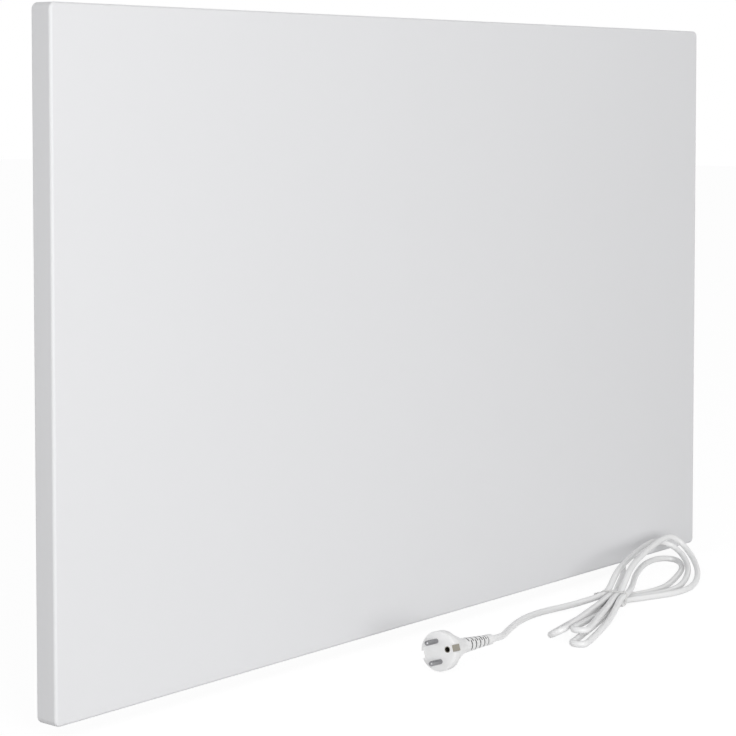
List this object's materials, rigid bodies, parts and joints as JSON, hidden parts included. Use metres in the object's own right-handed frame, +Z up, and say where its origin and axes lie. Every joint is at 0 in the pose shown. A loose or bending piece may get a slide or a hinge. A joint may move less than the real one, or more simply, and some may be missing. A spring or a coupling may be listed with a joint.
{
  "type": "infrared panel heater",
  "caption": "Flat white wall-hung infrared heating panel with rear hooks, a rear terminal box and a mains lead tied in a hank, ending in a moulded plug.",
  "frame": {"origin": "centre of the four wall-fixing holes of the wall brackets, in the plane of the wall", "axes": "+X along the panel's width, to the right seen from the front; +Y into the wall; +Z up"},
  "size_m": [1, 0.2182, 0.61],
  "materials": {
    "white_enamel": "fine satin powder coat",
    "galvanised_steel": "hot-dip galvanised sheet",
    "zinc_screws": "bright zinc plated",
    "mica": "pressed mica sheet",
    "heating_alloy": "etched resistance alloy strip",
    "aluminium_foil": "bright foil",
    "mineral_wool": "pressed mineral fibre board",
    "tinned_brass": "tinned brass",
    "cutout_can": "drawn can, ceramic base",
    "rivet_aluminium": "plain",
    "box_plastic": "light grey, fine texture",
    "grey_rubber": "moulded rubber",
    "block_plastic": "natural polyamide",
    "cord_white": "white PVC sheath",
    "core_insulation": "core insulation",
    "wire_brown": "silicone insulation",
    "wire_blue": "silicone insulation",
    "wire_green": "silicone insulation",
    "tie_plastic": "plastic covered wire",
    "plug_white": "moulded PVC, semi-gloss",
    "nickel_pins": "nickel plated",
    "earth_contact": "nickel plated brass"
  },
  "bodies": {
    "root": {"front_pan": "white_enamel", "rear_cover": "galvanised_steel", "cover_screws": "zinc_screws", "mica_front": "mica", "heating_track": "heating_alloy", "mica_rear": "mica", "reflector_foil": "aluminium_foil", "insulation_board": "mineral_wool", "track_terminals": "tinned_brass", "thermal_cutouts": "cutout_can", "wall_brackets": "galvanised_steel", "panel_hangers": "galvanised_steel", "backing_bars": "galvanised_steel", "hanger_rivets": "rivet_aluminium", "junction_box": "box_plastic", "box_gasket": "grey_rubber", "box_lid": "box_plastic", "box_lid_screws": "zinc_screws", "box_fixing_screws": "zinc_screws", "wire_grommet": "grey_rubber", "terminal_block": "block_plastic", "terminal_screws": "tinned_brass", "cord_clamp": "block_plastic", "clamp_screws": "zinc_screws", "gland_body": "box_plastic", "gland_locknut": "box_plastic", "gland_nut": "box_plastic", "cord_sleeve": "cord_white", "cord_tail": "cord_white", "cord_cores": "core_insulation", "live_lead": "wire_brown", "link_lead": "wire_brown", "return_lead": "wire_brown", "neutral_lead": "wire_blue", "earth_lead": "wire_green", "earth_stud": "galvanised_steel", "earth_lug": "tinned_brass", "earth_nut": "zinc_screws", "cord_lead": "cord_white", "cord_plug_lead": "cord_white", "cord_hank": "cord_white", "cord_tie": "tie_plastic", "plug_body": "plug_white", "plug_pins": "nickel_pins", "plug_earth_socket": "earth_contact", "plug_earth_clips": "earth_contact", "plug_strain_relief": "cord_white"}
  },
  "joints": []
}
